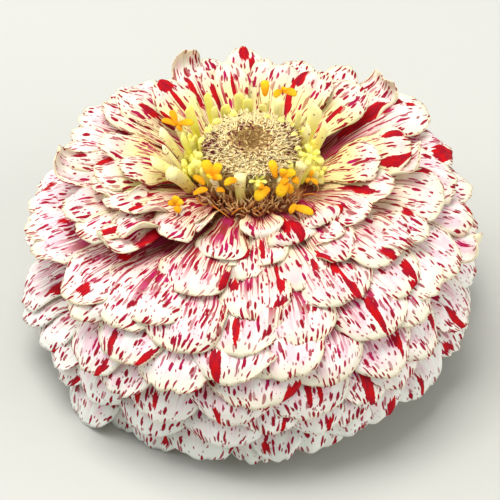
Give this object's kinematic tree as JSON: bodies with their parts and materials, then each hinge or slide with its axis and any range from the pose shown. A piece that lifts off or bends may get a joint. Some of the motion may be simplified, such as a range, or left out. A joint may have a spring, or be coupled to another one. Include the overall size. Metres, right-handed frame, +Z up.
{
  "type": "zinnia flower",
  "caption": "Picked double zinnia head with striped ray petals in a full dome, a chaffy disc ringed by open florets, a cup of bracts and a short cut stem.",
  "frame": {"origin": "centre of the stem's cut end, on the surface that the flower stands on, under the middle of the bloom", "axes": "+Z up along the flower's axis towards the disc, -Y towards the front where the innermost petals lie lowest, +X to the right seen from the front"},
  "size_m": [0.09, 0.0894, 0.0483],
  "materials": {
    "petals": "matt, finely veined cream white, flecked and banded with crimson",
    "disc_chaff": "dry papery straw chaff with dark tips",
    "open_florets": "velvety orange yellow",
    "quills": "satin pale lime",
    "bracts": "matt leaf green with a dark margin",
    "stem": "ribbed green with fine bristles"
  },
  "bodies": {
    "root": {"ray_petals": "petals", "disc": "disc_chaff", "yellow_florets": "open_florets", "quilled_florets": "quills", "involucre": "bracts", "stem": "stem"}
  },
  "joints": []
}
